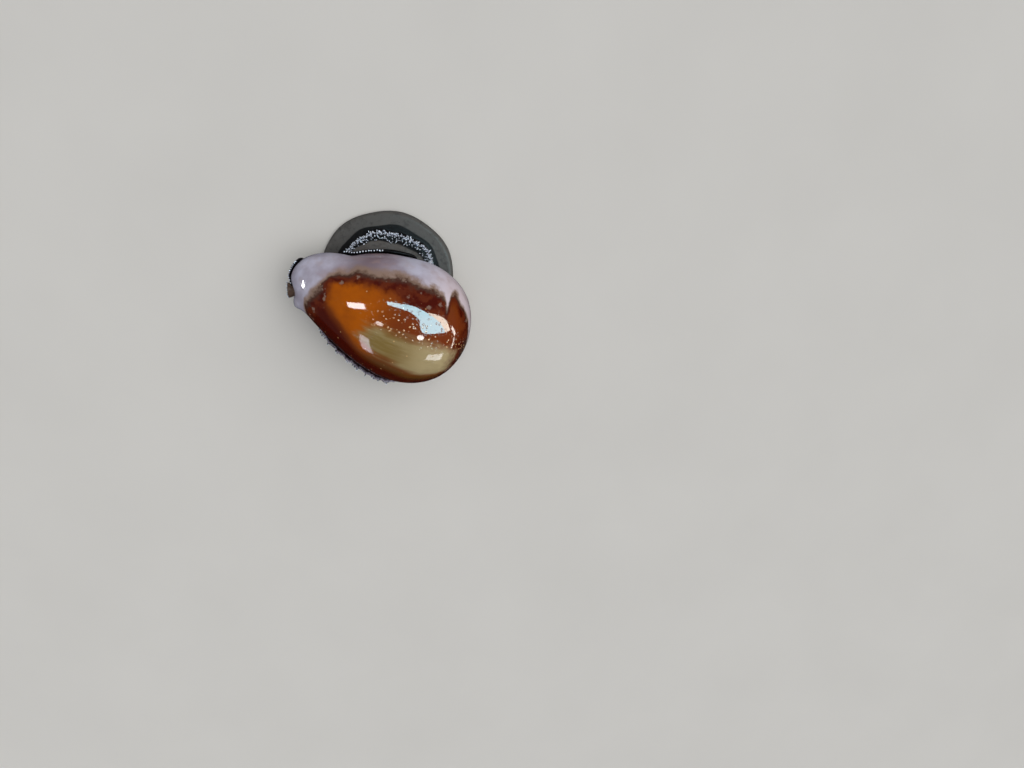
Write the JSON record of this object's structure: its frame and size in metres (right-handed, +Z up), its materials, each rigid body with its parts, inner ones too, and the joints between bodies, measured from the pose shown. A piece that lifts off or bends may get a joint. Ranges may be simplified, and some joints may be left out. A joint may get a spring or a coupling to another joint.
{
  "type": "cowry sea snail",
  "caption": "Glossy brown cowry shell with a lilac-grey margin, its foot spread below and its papillose mantle drawn partly back.",
  "frame": {"origin": "the point of the foot's flat sole below the middle of the shell", "axes": "+X towards the animal's front end, along the shell's length; +Y to the animal's left; +Z up from the floor"},
  "size_m": [0.0506, 0.0448, 0.0272],
  "materials": {
    "shell_enamel": "glossy",
    "foot_flesh": "wet",
    "mantle_grey": "wet",
    "mantle_dark": "wet",
    "siphon_flesh": "wet",
    "head_flesh": "wet",
    "eye_black": "glossy"
  },
  "bodies": {
    "root": {"shell": "shell_enamel", "foot": "foot_flesh", "mantle_right": "mantle_grey", "mantle_left": "mantle_dark", "siphon": "siphon_flesh", "head": "head_flesh", "tentacle_left": "head_flesh", "tentacle_right": "head_flesh", "eye_left": "eye_black", "eye_right": "eye_black"}
  },
  "joints": []
}
